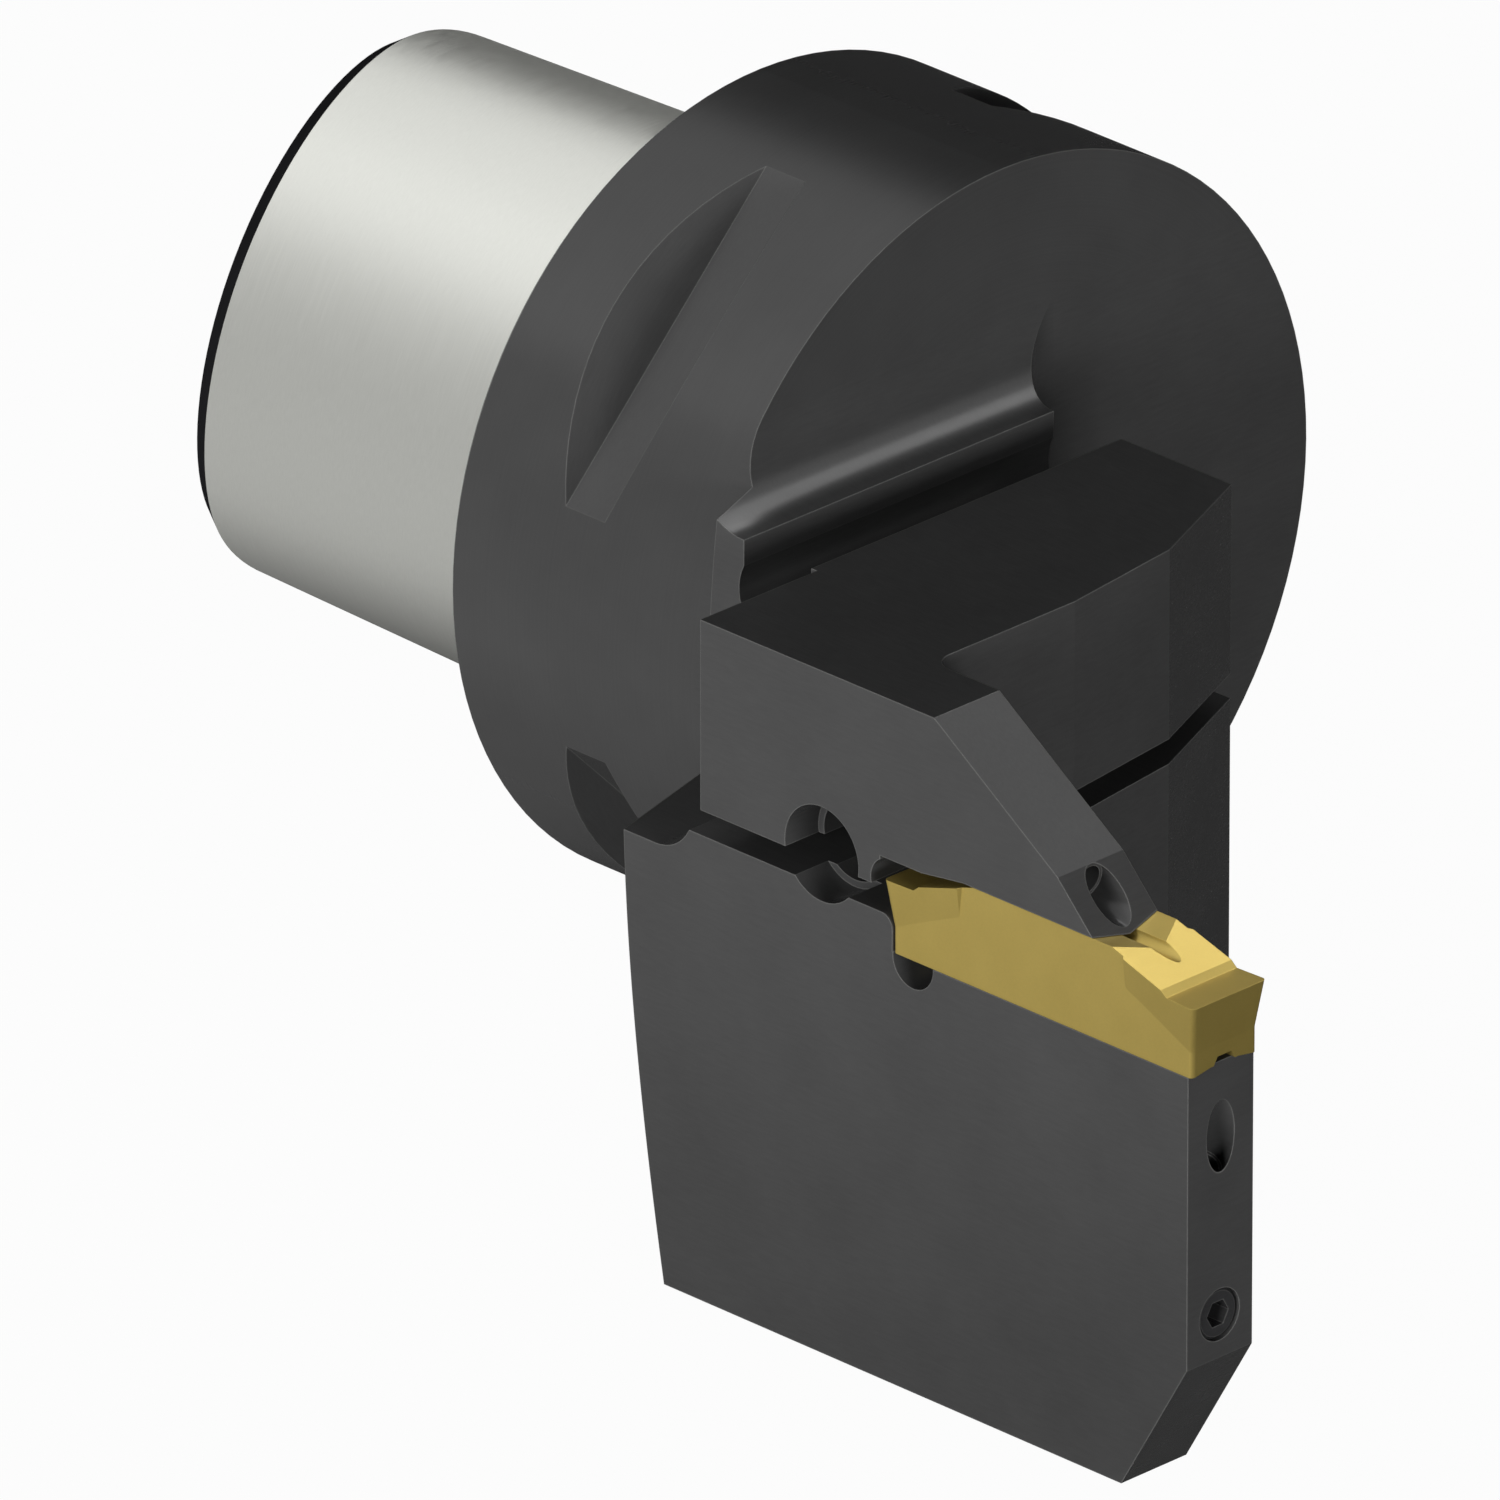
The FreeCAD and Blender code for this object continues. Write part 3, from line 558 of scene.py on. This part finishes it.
# Oxide that no tool has touched since the bath, and without sheen. Its deep black, darker than the
# holder's oxide, is painted shade on the end face and chamfer.
UNGROUND_END_IN_PAINTED_SHADE = ("#202022", "#2B2B2D", "#464645")

shank_finish, tree = new_material("ground_steel_with_black_oxide_end")
place = add(tree, "SeparateXYZ", {0: object_mm(tree)})
end_limit = cad_box[0][0] / MM + END_CHAMFER_MM
on_end = add(tree, "Math", {0: place.outputs["X"], 1: end_limit}, operation="LESS_THAN")
in_bore = add(tree, "Math", {0: axis_distance(tree, place), 1: BORE_LIMIT_MM}, operation="LESS_THAN")
unground = add(tree, "Math", {0: on_end.outputs[0], 1: in_bore.outputs[0]}, operation="MAXIMUM")
blackened = add(tree, "MixShader", {0: in_bore.outputs[0],
                                    1: oxide_shader(tree, *UNGROUND_END_IN_PAINTED_SHADE, sheen=0.0),
                                    2: oxide_shader(tree, *SCREW)})
shank_mix = add(tree, "MixShader", {0: unground.outputs[0], 1: bare_steel_shader(tree, *GROUND),
                                    2: blackened.outputs[0]})
add(tree, "OutputMaterial", {"Surface": shank_mix.outputs[0]})
dress(shank_finish, "polygon_shank")

# %% [markdown]
# ## Thread for the draw bolt
#
# Manual clamping units pull the taper home with a bolt, so the bore behind it is threaded. The
# solids leave the bore plain at its core size. The thread is one triangle, spun round the axis
# and pushed along it a little at every step, which makes a helix. Its base lies just inside the
# wall, so no gap can show, and it is a little narrower than the pitch, so the turns don't meet.

# %% Draw-bolt thread
THREAD_PITCH = 1.5 * MM
THREAD_HALF_BASE = 0.46 * THREAD_PITCH
THREAD_START = -22.4 * MM
THREAD_TURNS = 15
THREAD_STEPS_PER_TURN = 32
THREAD_BASE_RADIUS = 7.3 * MM
THREAD_CREST_RADIUS = 6.75 * MM
THREAD_SHARP_ANGLE = math.radians(25)

bm = bmesh.new()
tooth = bm.faces.new([
    bm.verts.new((THREAD_START - THREAD_HALF_BASE, 0, THREAD_BASE_RADIUS)),
    bm.verts.new((THREAD_START, 0, THREAD_CREST_RADIUS)),
    bm.verts.new((THREAD_START + THREAD_HALF_BASE, 0, THREAD_BASE_RADIUS)),
])
bmesh.ops.spin(bm, geom=[tooth], axis=(1, 0, 0), cent=(0, 0, 0),
               angle=2 * math.pi * THREAD_TURNS, steps=THREAD_TURNS * THREAD_STEPS_PER_TURN,
               dvec=(THREAD_PITCH / THREAD_STEPS_PER_TURN, 0, 0))
bmesh.ops.recalc_face_normals(bm, faces=bm.faces)
open_edges = sum(1 for edge in bm.edges if len(edge.link_faces) != 2)
thread_mesh = bpy.data.meshes.new("draw_bolt_thread")
bm.to_mesh(thread_mesh)
bm.free()
thread_mesh.shade_smooth()
thread_mesh.set_sharp_from_angle(angle=THREAD_SHARP_ANGLE)
thread = new_piece("draw_bolt_thread", thread_mesh)
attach(thread, "holder")
print("thread:", THREAD_TURNS, "turns,", len(thread_mesh.polygons), "faces,", open_edges, "open edges")

# %% Tapped steel
# Steel as the tap left it: a metal, greyer than the ground taper.
TAPPED = ("#8A8B87", "#A6A7A3")
tapped_finish, tree = new_material("tapped_bare_steel")
add(tree, "OutputMaterial", {"Surface": bare_steel_shader(tree, *TAPPED)})
thread_mesh.materials.append(tapped_finish)
print(tapped_finish.name, "on", thread.name)

# %% [markdown]
# ## Gold-coated carbide
#
# The insert is pressed and sintered carbide with a coat of titanium nitride a few micrometres
# thick, which looks like pale gold. The pressed surface is finely grained and satin, so the coat
# shines softly and nothing is mirrored sharply in it.

# %% Coated carbide
# The grain of pressed carbide is some hundredths of a millimetre, too fine to show, so it is
# drawn seven to the millimetre. The coat's tone drifts over about 2.9 mm. A nitride mirrors like
# a metal. A quarter of plain colour keeps the gold on faces that mirror only dark things.
CARBIDE_GRAIN_MM = 1 / 7
COAT_DRIFT_MM = 1 / 0.35
COAT_ROUGH = (0.36, 0.46)
COAT_METALLIC = 0.75
COAT_BUMP = 0.06
COAT_DEPTH = 0.02 * MM
INSERT_EDGE_RADIUS = 0.05 * MM
COAT = ("#D6BC66", "#E0C66E")

insert_finish, tree = new_material("gold_nitride_coating_on_carbide")
grain = add(tree, "TexNoise", {"Vector": object_mm(tree), "Scale": 1 / CARBIDE_GRAIN_MM,
                               "Detail": 4.0, "Roughness": 0.6}).outputs[0]
drift = add(tree, "TexNoise", {"Vector": object_mm(tree), "Scale": 1 / COAT_DRIFT_MM,
                               "Detail": 2.0}).outputs[0]
colour = two_noise_tones(tree, grain, drift, *COAT)
gold = marked_surface(tree, colour, grain, COAT_ROUGH, INSERT_EDGE_RADIUS, COAT_BUMP, COAT_DEPTH,
                      metallic=COAT_METALLIC)
add(tree, "OutputMaterial", {"Surface": gold})
dress(insert_finish, "cutting_insert")
